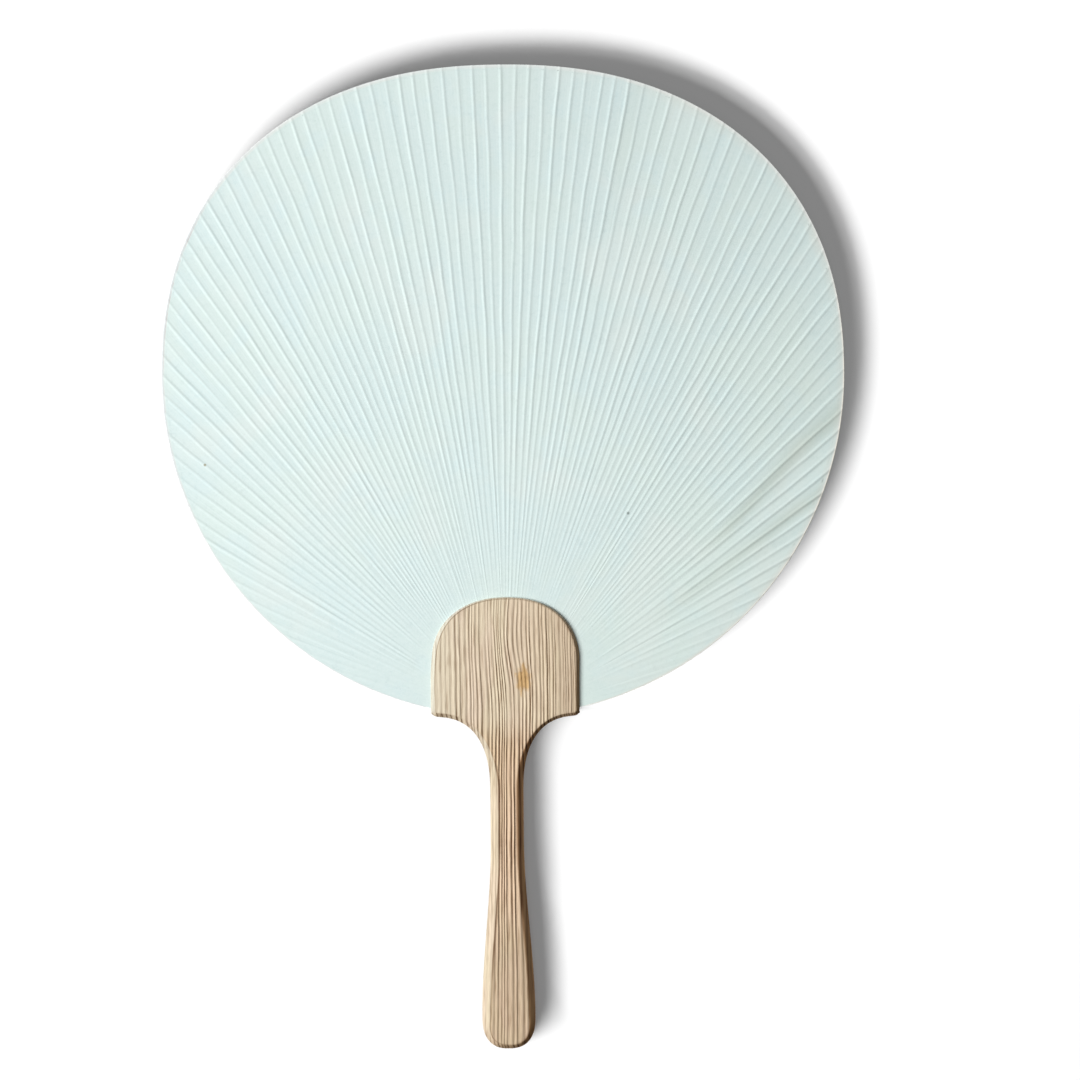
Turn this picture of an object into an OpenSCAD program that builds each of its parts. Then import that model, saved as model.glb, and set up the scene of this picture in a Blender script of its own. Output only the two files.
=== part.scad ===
// Round paper hand fan with an inserted wooden handle.
// It lies on its back: +X is across the leaf, +Y runs from the grip to the top of the leaf,
// and +Z is up, out of the front paper. The origin is under the middle of the fan, on the
// plane that the back of the handle rests on. All sizes are in millimetres.

/* [Whole fan] */
// Length from the top of the leaf to the end of the grip
overall_l = 365; // [360:1:370]
// Height of leaf that shows above the head of the handle
leaf_showing = 197.7; // [196:0.1:200]

/* [Leaf] */
// Width of the leaf at its widest line
leaf_w = 253; // [246:1:260]
// Height of the leaf above its widest line
leaf_up = 114.6; // [112:0.1:117]
// Depth of the leaf's curve below its widest line
leaf_down = 126.9; // [126:0.1:128]
// Roundness of the upper half of the leaf, where 2 is an ellipse
leaf_power = 2.25; // [2:0.05:2.4]
// Thickness of each sheet of paper
paper_t = 0.12; // [0.1:0.01:0.2]

/* [Ribs] */
// Ribs on each side of the centre rib
rib_side = 51; // [40:1:51]
// Angle between ribs in the middle of the fan, in degrees
rib_pitch = 1.28; // [1.2:0.01:1.28]
// How fast that angle opens towards the sides, in degrees a rib each rib
rib_opening = 0.024; // [0.02:0.001:0.024]
// Ribs on each side that keep the middle angle
rib_even = 28; // [28:1:34]
// How far hand-laid ribs wander from their even places, in degrees
rib_wander = 0.07; // [0:0.01:0.07]
// Thickness of a rib
rib_t = 0.5; // [0.4:0.05:0.6]
// Width of a rib at its root, inside the handle
rib_root_w = 0.5; // [0.4:0.05:0.5]
// Width of a rib at its tip, at the rim
rib_tip_w = 0.9; // [0.7:0.05:1.2]

/* [Rim] */
// Width of the paper strip folded over the edge, on each face
rim_w = 1.6; // [0.6:0.1:2]
// Thickness of that strip
rim_t = 0.12; // [0.1:0.01:0.2]

/* [Handle] */
// Thickness of the handle, from front to back
handle_t = 5; // [5:0.5:8]
// Width of the head that grips the leaf
head_w = 54.9; // [52:0.1:58]
// Height of the domed top of the head
dome_h = 24.1; // [22:0.1:26]
// Height of the head from the top of the dome to its lower corners
head_h = 44.1; // [44:0.1:46]
// Depth of the saw cut for the leaf, below the top of the dome
slot_depth = 43; // [42.9:0.1:43]
// Height of the hollow shoulders between the head and the neck
shoulder_h = 28.2; // [26:0.1:30]
// Width of the neck
neck_w = 12.3; // [11:0.1:14]
// Width of the grip near its end
grip_w = 19.7; // [18:0.1:22]
// Width of the bevel around the head
head_bevel = 1.3; // [0.8:0.1:1.5]
// Depth of the bevel around the head
head_bevel_d = 1.6; // [1:0.1:1.8]
// Width of the bevel along the grip
grip_bevel = 2.8; // [2:0.1:3]
// Depth of the bevel along the grip
grip_bevel_d = 1.9; // [1.6:0.1:2]

/* [Hidden] */
leaf_y = overall_l / 2 - rim_t - leaf_up;   // widest line of the leaf
head_y = overall_l / 2 - leaf_showing; // top of the handle's head
grip_y = -overall_l / 2;               // end of the grip
slot_y = head_y - slot_depth;          // floor of the saw cut
fan_y = head_y - 45.6;                 // point that every rib aims at
mid_z = handle_t / 2;                  // middle plane of the leaf
leaf_t = rib_t + 2 * paper_t;          // thickness of the leaf

function pad2(k) = str(k < 10 ? "0" : "", k);
function rib_name(k) = str("rib_pair_", pad2(k));

// ---------- the leaf's outline ----------

// Half width of the leaf at an angle around its widest line's middle, d further out than the paper's edge
function sgn_pow(v, p) = sign(v) * pow(abs(v), p);
function leaf_pt(a, d) =
    let (n = sin(a) > 0 ? leaf_power : 2)
    [(leaf_w / 2 + d) * sgn_pow(cos(a), 2 / n),
     leaf_y + ((sin(a) > 0 ? leaf_up : leaf_down) + d) * sgn_pow(sin(a), 2 / n)];
// The outline is closed by a straight cut at the floor of the slot
cut_a = asin((leaf_y - slot_y) / leaf_down);
leaf_steps = 180;
function leaf_outline(d = 0) =
    [for (i = [0:leaf_steps]) leaf_pt(-cut_a + (180 + 2 * cut_a) * i / leaf_steps, d)];

// How far outside the leaf's edge a point lies: below 1 is inside
function leaf_side(x, y) =
    let (n = y > leaf_y ? leaf_power : 2, h = y > leaf_y ? leaf_up : leaf_down)
    pow(abs(x) / (leaf_w / 2), n) + pow(abs(y - leaf_y) / h, n);
// Distance from the ribs' aiming point to the leaf's edge at an angle from +Y, halving the span each time
function rim_at(a, lo = 30, hi = 260, i = 0) =
    i > 26 ? lo :
    let (m = (lo + hi) / 2)
    leaf_side(m * sin(a), fan_y + m * cos(a)) < 1 ? rim_at(a, m, hi, i + 1) : rim_at(a, lo, m, i + 1);

// ---------- the ribs' places ----------

// Angle of the k-th rib from +Y: even in the middle, opening towards the sides
function rib_even_a(k) = sign(k) * (rib_pitch * abs(k) + rib_opening * pow(max(0, abs(k) - rib_even), 2));
function rib_a(k) = rib_even_a(k) + rib_wander * sin(37 * k * k + 61 * k);
// Ribs stop short of their aiming point, where they would crowd each other
function rib_gap(k) = rib_even_a(abs(k) + 1) - rib_even_a(abs(k)) - 2 * rib_wander;
function rib_r0(k) = (rib_root_w + 0.12) / (rib_gap(k) * PI / 180);
function rib_r1(a) = rim_at(a) - 0.25;

// ---------- the handle's outline ----------

dome_n = 2.2;       // roundness of the dome
corner_r = 2.2;     // radius of the head's lower corners
shoulder_n = 2.5;   // roundness of the hollow shoulders
tip_n = 2.5;        // roundness of the grip's end
tip_h = 11.9;       // height of the grip's rounded end
shoulder_y = head_y - head_h;
neck_y = shoulder_y - shoulder_h;
swell_y0 = neck_y - 17.8;            // the grip is straight down to here
swell_y1 = grip_y + 12.2;            // and at its widest from here
function ease(u) = let (c = min(1, max(0, u))) c * c * (3 - 2 * c);
function grip_half(y) = neck_w / 2 + (grip_w - neck_w) / 2 * ease((swell_y0 - y) / (swell_y0 - swell_y1));
shoulder_a = acos(pow(corner_r / (head_w / 2 - neck_w / 2), shoulder_n / 2));

handle_right = concat(
    [for (i = [0:15]) let (a = 90 - i * 6)
        [head_w / 2 * pow(cos(a), 2 / dome_n), head_y - dome_h + dome_h * pow(sin(a), 2 / dome_n)]],
    [for (i = [1:3]) [head_w / 2, head_y - dome_h - (head_h - dome_h - corner_r) * i / 4]],
    [for (i = [0:5]) let (a = -i * 18)
        [head_w / 2 - corner_r + corner_r * cos(a), shoulder_y + corner_r + corner_r * sin(a)]],
    [for (i = [1:16]) let (a = shoulder_a * (1 - i / 16))
        [head_w / 2 - (head_w - neck_w) / 2 * pow(cos(a), 2 / shoulder_n), neck_y + shoulder_h * pow(sin(a), 2 / shoulder_n)]],
    [for (i = [1:20]) let (y = neck_y + (grip_y + tip_h - neck_y) * i / 20) [grip_half(y), y]],
    [for (i = [1:12]) let (a = i * 7.5)
        [grip_half(grip_y + tip_h) * pow(max(0, cos(a)), 2 / tip_n), grip_y + tip_h - tip_h * pow(sin(a), 2 / tip_n)]]);
last = len(handle_right) - 1;
handle_line = concat(handle_right, [for (i = [last - 1:-1:1]) [-handle_right[i][0], handle_right[i][1]]]);
count = len(handle_line);
function inward(i) =
    let (t = handle_line[(i + 1) % count] - handle_line[(i + count - 1) % count])
    [t[1], -t[0]] / norm(t);
// Bevel along the outline: fine round the head, broad down the grip, fine again at its end
function along_grip(y) = ease((shoulder_y - y) / shoulder_h) * ease((y - grip_y + 1) / (tip_h + 3));
function bevel_w(y) = head_bevel + (grip_bevel - head_bevel) * along_grip(y);
function bevel_d(y) = head_bevel_d + (grip_bevel_d - head_bevel_d) * along_grip(y);
function ring(top, flush) = [for (i = [0:count - 1])
    let (p = handle_line[i], q = flush ? p : p + inward(i) * bevel_w(p[1]), d = flush ? bevel_d(p[1]) : 0)
    [q[0], q[1], top ? handle_t - d : d]];

// ---------- the pieces ----------

// One-piece handle with a domed head, hollow shoulders and a bevelled grip, sawn open for the leaf
module handle() {
    color("#D8BB94")
    difference() {
        polyhedron(
            points = concat(ring(false, false), ring(false, true), ring(true, true), ring(true, false)),
            faces = concat(
                [[for (i = [count - 1:-1:0]) i]],
                [for (r = [0:2], i = [0:count - 1]) let (j = (i + 1) % count)
                    [r * count + i, r * count + j, (r + 1) * count + j]],
                [for (r = [0:2], i = [0:count - 1]) let (j = (i + 1) % count)
                    [r * count + i, (r + 1) * count + j, (r + 1) * count + i]],
                [[for (i = [0:count - 1]) 3 * count + i]]));
        translate([-head_w, slot_y, mid_z - leaf_t / 2]) cube([2 * head_w, slot_depth + 10, leaf_t]);
    }
}

// One sheet of paper, cut to the leaf's outline
module paper(z) {
    translate([0, 0, z]) linear_extrude(paper_t) polygon(leaf_outline());
}

// Paper on the front of the ribs
module front_paper() { color("#DDF0EF") paper(mid_z + rib_t / 2); }

// Paper on the back of the ribs
module back_paper() { color("#D2E8E8") paper(mid_z - rib_t / 2 - paper_t); }

// Narrow strip folded over the edge of the leaf, from one side of the head round to the other
module rim_binding() {
    color("#F6F3E8")
    difference() {
        translate([0, 0, mid_z - leaf_t / 2 - rim_t]) linear_extrude(leaf_t + 2 * rim_t)
            difference() {
                polygon(leaf_outline(rim_t));
                polygon(leaf_outline(-rim_w));
            }
        translate([0, 0, mid_z - leaf_t / 2]) linear_extrude(leaf_t) polygon(leaf_outline());
        translate([-head_w / 2 - 0.1, slot_y - 10, -1]) cube([head_w + 0.2, 40, handle_t + 2]);
    }
}

// Stiff card between the papers that fills the slot where the ribs stop
module root_card() {
    color("#E9DCC2")
    translate([0, 0, mid_z - rib_t / 2]) linear_extrude(rib_t)
        intersection() {
            polygon([for (k = [-rib_side - 1:rib_side + 1])
                let (a = rib_even_a(k), r = rib_r0(k) - 0.2) [r * sin(a), fan_y + r * cos(a)]]);
            translate([0, 0.01]) polygon(leaf_outline(-0.4));
        }
}

// One flat rib, tapering from its root in the handle to its tip, which is trimmed to the slant of the rim
module rib(k) {
    a = rib_a(k);
    slant = rib_tip_w / 2 / rim_at(a) * 180 / PI;
    translate([0, fan_y, mid_z - rib_t / 2]) rotate(-a) linear_extrude(rib_t)
        polygon([[-rib_root_w / 2, rib_r0(k)], [rib_root_w / 2, rib_r0(k)],
                 [rib_tip_w / 2, rib_r1(a + slant)], [-rib_tip_w / 2, rib_r1(a - slant)]]);
}

// The rib on the centre line
module rib_centre() { color("#D9C791") rib(0); }

// Two ribs of the same length, one on each side of the centre rib
module rib_pair(k) { color("#D9C791") { rib(k); rib(-k); } }

handle();
front_paper();
back_paper();
rim_binding();
root_card();
rib_centre();
for (k = [1:rib_side])
    rib_pair(k);
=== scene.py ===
# Looks of a round paper fan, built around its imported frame.
# Lengths below are millimetres in the row frame; make_mesh turns them into metres.
import math

import bpy
import numpy as np
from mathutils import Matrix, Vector, geometry


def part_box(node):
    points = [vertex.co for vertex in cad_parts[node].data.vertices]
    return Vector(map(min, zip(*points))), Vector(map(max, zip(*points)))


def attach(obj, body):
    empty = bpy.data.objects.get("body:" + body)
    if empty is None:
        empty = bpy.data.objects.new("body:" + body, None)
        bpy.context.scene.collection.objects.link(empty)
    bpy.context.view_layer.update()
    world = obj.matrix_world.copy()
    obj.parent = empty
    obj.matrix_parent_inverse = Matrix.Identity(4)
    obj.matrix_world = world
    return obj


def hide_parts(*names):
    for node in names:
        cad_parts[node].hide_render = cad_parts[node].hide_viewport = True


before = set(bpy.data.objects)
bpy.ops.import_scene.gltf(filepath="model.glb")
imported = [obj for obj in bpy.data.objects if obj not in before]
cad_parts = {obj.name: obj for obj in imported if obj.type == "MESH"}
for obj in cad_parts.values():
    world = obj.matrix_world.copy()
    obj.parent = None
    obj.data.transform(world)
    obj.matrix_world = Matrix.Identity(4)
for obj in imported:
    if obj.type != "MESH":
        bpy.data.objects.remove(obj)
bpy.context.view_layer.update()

# ---------------------------------------------------------------- sizes, as the frame has them
OVERALL, LEAF_W, LEAF_UP, LEAF_DOWN, LEAF_N = 365.0, 253.0, 114.6, 126.9, 2.25
PAPER, RIB_T, RIM_W, RIM_T = 0.12, 0.5, 1.6, 0.12
LEAF_Y = OVERALL / 2 - RIM_T - LEAF_UP
HEAD_Y = OVERALL / 2 - 197.7
SLOT_Y = HEAD_Y - 43.0
FAN_Y = HEAD_Y - 45.6
GRIP_Y = -OVERALL / 2
HANDLE_T = round(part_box("handle")[1].z * 1000, 3)
MID = HANDLE_T / 2
TOP = MID + RIB_T / 2 + PAPER  # outer face of the front paper in the frame
RIBS, PITCH, OPENING, EVEN, WANDER = 51, 1.28, 0.024, 28, 0.07

rng = np.random.default_rng(20)


# ---------------------------------------------------------------- helpers
def ease(u):
    u = np.clip(u, 0.0, 1.0)
    return u * u * (3 - 2 * u)


def wave_noise(x, y, seed, octaves=4):
    """Smooth repeatable noise of about -1 to 1, from turned sine waves whose length halves each octave."""
    r = np.random.default_rng(seed)
    out = np.zeros(np.broadcast(x, y).shape)
    size, total = 1.0, 0.0
    for o in range(octaves):
        for _ in range(3):
            a, p, q = r.uniform(0, 2 * math.pi, 3)
            f = 2.0**o * r.uniform(0.75, 1.3)
            out += size * np.sin(f * (x * math.cos(a) + y * math.sin(a)) + p + 0.7 * np.sin(f * 0.6 * (x * math.sin(a) - y * math.cos(a)) + q))
        total += size * 1.7
        size *= 0.55
    return out / total


def make_mesh(name, points, faces, corner=60):
    """An object from points in millimetres and a list of faces, smooth except at corners sharper than the given angle."""
    mesh = bpy.data.meshes.new(name)
    mesh.from_pydata((np.asarray(points, float) * 0.001).tolist(), [], [tuple(map(int, f)) for f in faces])
    mesh.validate()
    mesh.update()
    mesh.polygons.foreach_set("use_smooth", np.ones(len(mesh.polygons), bool))
    mesh.set_sharp_from_angle(angle=math.radians(corner))
    obj = bpy.data.objects.new(name, mesh)
    bpy.context.scene.collection.objects.link(obj)
    return obj


def set_attribute(obj, name, values):
    layer = obj.data.attributes.new(name, "FLOAT", "POINT")
    layer.data.foreach_set("value", np.asarray(values, np.float32))


def grid_faces(rows, cols, start=0, flip=False):
    """Quads of a grid whose points run column by column."""
    i, j = np.meshgrid(np.arange(cols - 1), np.arange(rows - 1), indexing="ij")
    a = start + i * rows + j
    quads = np.stack([a, a + rows, a + rows + 1, a + 1], -1).reshape(-1, 4)
    return quads[:, ::-1] if flip else quads


# ---------------------------------------------------------------- the leaf
def leaf_side(x, y):
    n = np.where(y > LEAF_Y, LEAF_N, 2.0)
    h = np.where(y > LEAF_Y, LEAF_UP, LEAF_DOWN)
    return (np.abs(x) / (LEAF_W / 2)) ** n + (np.abs(y - LEAF_Y) / h) ** n


def rim_at(theta):
    """Distance from the ribs' aiming point to the leaf's edge."""
    lo, hi = np.full(np.shape(theta), 30.0), np.full(np.shape(theta), 260.0)
    for _ in range(40):
        m = (lo + hi) / 2
        inside = leaf_side(m * np.sin(theta), FAN_Y + m * np.cos(theta)) < 1
        lo, hi = np.where(inside, m, lo), np.where(inside, hi, m)
    return lo


def rib_even(k):
    return math.copysign(PITCH * abs(k) + OPENING * max(0, abs(k) - EVEN) ** 2, k) if k else 0.0


RIB_A = np.radians([rib_even(k) + WANDER * math.sin(math.radians(37 * k * k + 61 * k)) for k in range(-RIBS, RIBS + 1)])
GAP = np.diff(RIB_A)
N_RIB = len(RIB_A)
WAVE_PHASE, WAVE_PACE = rng.uniform(0, 2 * math.pi, (2, 3, N_RIB)), rng.uniform(0.8, 1.25, (2, 3, N_RIB))

RIDGE_W = 0.9  # half width of a ridge out at the rim
RIDGE_H = 0.15  # height of a ridge over the paper beside it
# Where a column stands across a ridge, in ridge half widths, and the ridge's height there
U = np.array([-1.2, -0.9, -0.55, -0.2, 0.0, 0.2, 0.55, 0.9, 1.2])
H = np.array([0.0, 0.10, 0.46, 0.86, 0.94, 0.86, 0.46, 0.10, 0.0])


def ridge_size(d):
    """Ridges grow out of the flat root and reach their full height well out on the leaf."""
    return np.interp(d, [36, 45, 52, 63, 74, 89, 108, 130, 152, 240], [0, 0.16, 0.30, 0.43, 0.52, 0.66, 0.82, 0.92, 0.97, 1.0])


def bell(v, middle, half):
    return np.exp(-(((v - middle) / half) ** 2))


def paper_marks(obj, verts, front):
    """Distance along the ribs and angle between them, for the paper's fibres; painted shade along the front's creases
    and over a few darker panels.
    """
    d = np.hypot(verts[:, 0], verts[:, 1] - FAN_Y)
    turn = np.degrees(np.arctan2(verts[:, 0], verts[:, 1] - FAN_Y))
    # painted shade: darker bands along the front's creases and over a few panels
    painted_crease_shade = 0.75 * bell(turn, np.interp(d, [90, 108, 130, 148], [50.2, 49.8, 48.5, 47.7]), 1.25) * ease((d - 85) / 35)
    painted_crease_shade += (0.32 + 0.38 * ease((d - 89) / 40)) * bell(turn, np.interp(d, [89, 108, 130], [56.0, 55.3, 54.7]), np.interp(d, [89, 130], [1.8, 1.0])) * ease((d - 60) / 25)
    painted_crease_shade += 0.12 * bell(turn, 43.0, 2.5) * ease((d - 120) / 40) + 0.1 * bell(turn, 64.0, 5.0) * ease((d - 80) / 50)
    painted_crease_shade += 0.2 * ease(1.6 - 2 * abs(turn - 12.15)) * ease((d - 165) / 45)
    set_attribute(obj, "along", d)
    set_attribute(obj, "turn", turn)
    set_attribute(obj, "painted_crease_shade", np.clip(painted_crease_shade, 0, 1) * front)
    set_attribute(obj, "inward", rim_at(np.radians(turn)) - d)


def leaf_sheet(name, front, seed, step):
    """One sheet of paper: ridges over the ribs, slightly uneven panels between them, closed underneath."""
    r = np.random.default_rng(seed)
    high = r.uniform(0.72, 1.25, N_RIB)  # how sharply each rib stands out
    start = r.uniform(-7.0, 14.0, N_RIB)  # where each ridge begins
    astray = np.radians(r.uniform(-0.34, 0.34, N_RIB))  # how far each rib lies off its line near the root
    outer = np.ones(N_RIB)  # ribs that stand out more, away from the root
    tilt = r.normal(0, 0.013, N_RIB - 1)  # how far one side of each panel sits lower
    deg = np.degrees((RIB_A[1:] + RIB_A[:-1]) / 2)
    if front:
        right = ease((deg - 38) / 10) * ease((80 - deg) / 12)
        tilt = tilt * (1 + 1.2 * right)
        for at, size in ((12.2, -0.045), (43.2, -0.03), (47.2, -0.01), (49.2, 0.02), (50.1, -0.02), (51.9, -0.05), (53.7, -0.03), (60.0, -0.04), (62.0, -0.04)):
            tilt[np.argmin(abs(deg - at))] = size
        for at, size in ((46.0, 1.15), (47.6, 1.6), (49.3, 1.6), (51.0, 1.2), (52.8, 1.35), (54.7, 1.35), (57.0, 1.2), (59.2, 1.2), (61.4, 1.2), (-44.5, 1.2)):
            outer[np.argmin(abs(np.degrees(RIB_A) - at))] = size

    def waves(which, k, d, lengths, sizes):
        """A rib's own slow waves along its length."""
        return sum(s * np.sin(2 * math.pi * d * WAVE_PACE[which, i, k] / l + WAVE_PHASE[which, i, k]) for i, (l, s) in enumerate(zip(lengths, sizes)))

    cols = []  # (on a ridge or on a panel, rib left of it, place across, height across)
    for k in range(N_RIB):
        cols += [("ridge", k, u, h) for u, h in zip(U, H)]
        if k < N_RIB - 1:
            cols += [("panel", k, 0.35, 0.0), ("panel", k, 0.65, 0.0)]
    n = len(cols)

    def on_ridge(k, u, d):
        gap = GAP[min(k, N_RIB - 2)] if u > 0 else GAP[max(k - 1, 0)]
        w = ((RIDGE_W / d) ** -4 + (0.40 * gap) ** -4) ** -0.25
        wander = waves(0, k, d, (90, 40, 19), (0.15, 0.11, 0.05)) * np.clip((d - 60) / 90, 0, 1) / d
        a = RIB_A[k] + wander + u * w
        return a + np.interp(a, RIB_A, astray) * (1 - ease((d - 48) / 80))

    def angle(col, d):
        kind, k, u, _ = col
        if kind == "ridge":
            return on_ridge(k, u, d)
        a, b = on_ridge(k, U[-1], d), on_ridge(k + 1, U[0], d)
        return a + (b - a) * u

    rim_mid = rim_at(RIB_A)
    ends = np.array([angle(c, rim_mid[c[1]]) for c in cols])
    r_out = rim_at(ends)
    # Rows: the same number in every column, spread between the slot's floor and the rim
    at = np.concatenate([[0, 10, 20, 28, 33], np.arange(36, 60, 0.75 * step), np.arange(60, 236, step)])
    share = at / 240.0
    share = np.append(share[share < 0.985], [0.988, 1.0])
    rows = len(share)
    pts = np.zeros((n, rows, 3))
    rad = np.zeros((n, rows))
    ang = np.zeros((n, rows))
    for i, c in enumerate(cols):
        r_in = (SLOT_Y - FAN_Y) / math.cos(float(angle(c, 30.0)))
        rad[i] = r_in + (r_out[i] - r_in) * share
        ang[i] = angle(c, rad[i])
        ang[i, -1] = ends[i]
    pts[..., 0] = rad * np.sin(ang)
    pts[..., 1] = FAN_Y + rad * np.cos(ang)

    lift = np.zeros((n, rows))
    for i, (kind, k, u, h) in enumerate(cols):
        if kind == "ridge":
            f = ridge_size(rad[i] - start[k])
            swell = 1 + waves(1, k, rad[i], (70, 31, 15), (0.13, 0.12, 0.08)) * (1 + 1.3 * ease((110 - rad[i]) / 60))
            swell = swell * (1 + (outer[k] - 1) * ease((rad[i] - 70) / 35))
            # each foot takes the height of its own panel's side
            foot = 0.0
            if u < 0 and k > 0:
                foot = -tilt[k - 1]
            elif u > 0 and k < N_RIB - 1:
                foot = tilt[k]
            lift[i] = f * (RIDGE_H * high[k] * swell * h + foot * abs(u) / U[-1])
        else:
            lift[i] = ridge_size(rad[i] - (start[k] + start[k + 1]) / 2) * tilt[k] * (1 - 2 * u)
    # Stronger ridges towards the sides, fading out at the lowest ribs, and small unevenness everywhere
    side = np.degrees(np.abs(ang))
    lift *= (1 + 0.35 * ease((side - 30) / 30)) * (1 - np.where(ang < 0, 0.1, 0.55) * ease((side - 66) / 14))
    turned = np.degrees(ang)
    lift *= 1 + ease((95 - rad) / 35) * (0.35 * ease((-24 - turned) / 10) - 0.25 * ease((turned - 4) / 8) * ease((40 - turned) / 8))
    lift *= 0.55 + 0.45 * ease((r_out[:, None] - rad) / 2.4)
    lift *= 1 - 0.28 * ease((np.degrees(-ang) - 38) / 12) * ease((rad - 105) / 40)
    uneven = 0.010 * wave_noise(pts[..., 0] / 9, pts[..., 1] / 9, seed + 1, 3)
    fade = ridge_size(rad)
    pts[..., 2] = TOP - 0.09 * fade + lift + uneven * fade

    # Past the outermost ribs the sheet runs on along its lower edge to the slot's corner
    corner = math.sqrt(max(0.0, 1 - ((LEAF_Y - SLOT_Y) / LEAF_DOWN) ** 2)) * LEAF_W / 2
    extra = 8

    def apron(sign):
        edge = pts[-1 if sign > 0 else 0]
        x0, x1 = abs(edge[-1, 0]), corner
        xi0, xi1 = abs(edge[0, 0]), corner - 0.6
        out = np.zeros((extra, rows, 3))
        for j in range(extra):
            s = (j + 1) / extra
            xo = x0 + (x1 - x0) * s
            yo = LEAF_Y - LEAF_DOWN * math.sqrt(1 - (xo / (LEAF_W / 2)) ** 2)
            xi, yi = xi0 + (xi1 - xi0) * s, SLOT_Y
            out[j, :, 0] = sign * (xi + (xo - xi) * share)
            out[j, :, 1] = yi + (yo - yi) * share
            out[j, :, 2] = TOP - 0.09 * ridge_size(np.hypot(out[j, :, 0], out[j, :, 1] - FAN_Y))
        return out

    pts = np.concatenate([apron(-1)[::-1], pts, apron(1)])
    n = len(pts)

    under_rows = np.unique(np.concatenate([[0, rows - 1], np.arange(4, rows - 1, 5)]))
    under = pts[:, under_rows].copy()
    under[..., 2] -= PAPER
    m = len(under_rows)
    start_u = n * rows
    faces = grid_faces(rows, n, 0, flip=False).tolist()
    faces += grid_faces(m, n, start_u, flip=True).tolist()
    i = np.arange(n - 1)
    a, b = i * rows, start_u + i * m
    faces += np.stack([a, b, b + m, a + rows], -1).tolist()
    a, b = i * rows + rows - 1, start_u + i * m + m - 1
    faces += np.stack([a, a + rows, b + m, b], -1).tolist()
    for col, turn in ((0, False), (n - 1, True)):
        for j in range(m - 1):
            top = [col * rows + q for q in range(under_rows[j], under_rows[j + 1] + 1)]
            ring = top + [start_u + col * m + j + 1, start_u + col * m + j]
            faces.append(ring[::-1] if turn else ring)
    verts = np.concatenate([pts.reshape(-1, 3), under.reshape(-1, 3)])
    if not front:
        verts[:, 2] = 2 * MID - verts[:, 2]
        faces = [f[::-1] for f in faces]
    obj = make_mesh(name, verts, faces)
    paper_marks(obj, verts, np.full(len(verts), front))
    return obj, pts


front_paper, front_points = leaf_sheet("front_washi", True, 5, 4.0)
back_paper, back_points = leaf_sheet("back_washi", False, 9, 8.0)


# ---------------------------------------------------------------- rim strip
INWARD_OF_RIM = (RIM_W, 1.15, 0.86, 0.66, 0.45, 0.2)  # where the strip's rows lie; it is pressed thin towards its inner edge


def rim_strip():
    """The strip folded over the leaf's edge: it follows the ridges on both faces and ends beside the head."""
    out = front_points[:, -1]
    keep = [i for i in range(len(out)) if abs(out[i, 0]) > 27.6 or out[i, 1] > 0]
    edge = out[keep]
    tangent = np.gradient(edge[:, :2], axis=0)
    tangent /= np.linalg.norm(tangent, axis=1)[:, None]
    normal = np.stack([-tangent[:, 1], tangent[:, 0]], -1)
    normal *= np.sign(((edge[:, :2] - (0.0, LEAF_Y)) * normal).sum(1))[:, None]  # out of the leaf
    ray = edge[:, :2] - front_points[keep][:, -6, :2]
    ray /= np.linalg.norm(ray, axis=1)[:, None]
    slant = np.clip((ray * normal).sum(1), 0.35, 1)
    uneven = 0.05 * np.sin(edge[:, 0] / 3.1 + edge[:, 1] / 2.3) + 0.04 * np.sin(edge[:, 0] / 1.3 - edge[:, 1] / 1.7)

    def relief(sheet, d):
        """Height of a sheet d inside its edge, measured along the ribs."""
        cols = sheet[keep]
        length = np.linalg.norm(cols[:, :, :2] - cols[:, -1:, :2], axis=2)
        return np.array([np.interp(d[i], length[i, ::-1], cols[i, ::-1, 2]) for i in range(len(keep))])

    def face_rows(sheet, mirror):
        rows = []
        for d, add in zip(INWARD_OF_RIM, (0.004, 0.008, 0.010, 0.012, 0.016, 0.022)):
            dd = (d + uneven * min(1.0, d)) / slant
            z = relief(sheet, dd) + add
            rows.append(np.column_stack([edge[:, :2] - ray * dd[:, None], 2 * MID - z if mirror else z]))
        at_edge = relief(sheet, np.zeros(len(keep)))
        for outward, add in ((0.04, 0.012), (0.095, -0.035)):
            z = at_edge + add
            rows.append(np.column_stack([edge[:, :2] + normal * outward, 2 * MID - z if mirror else z]))
        return rows, at_edge

    a, a_edge = face_rows(front_points, False)
    b, b_edge = face_rows(back_points, True)
    tip = [np.column_stack([edge[:, :2] + normal * 0.12, np.full(len(keep), MID)])]
    inner = edge[:, :2] + normal * 0.004
    ring = np.stack(a + tip + b[::-1] + [np.column_stack([inner, 2 * MID - b_edge]), np.column_stack([inner, a_edge])], 1)
    n, m = ring.shape[:2]
    i, j = np.meshgrid(np.arange(n - 1), np.arange(m), indexing="ij")
    quads = np.stack([i * m + j, i * m + (j + 1) % m, (i + 1) * m + (j + 1) % m, (i + 1) * m + j], -1).reshape(-1, 4)
    faces = quads.tolist() + [list(range(m - 1, -1, -1)), [(n - 1) * m + t for t in range(m)]]
    verts = ring.reshape(-1, 3)
    obj = make_mesh("rim_strip", verts, faces)
    paper_marks(obj, verts, verts[:, 2] > MID)
    return obj


rim = rim_strip()


# ---------------------------------------------------------------- handle
HEAD_W, DOME_H, HEAD_H, SHOULDER_H, NECK_W, GRIP_W = 54.9, 24.1, 44.1, 28.2, 12.3, 19.7
HEAD_BEVEL, HEAD_BEVEL_D, GRIP_BEVEL, GRIP_BEVEL_D = 1.3, 1.6, 2.8, 1.9
DOME_N, CORNER_R, SHOULDER_N, TIP_N, TIP_H = 2.2, 2.2, 2.5, 2.5, 11.9
SHOULDER_Y = HEAD_Y - HEAD_H
NECK_Y = SHOULDER_Y - SHOULDER_H
SWELL_0, SWELL_1 = NECK_Y - 17.8, GRIP_Y + 12.2


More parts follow.
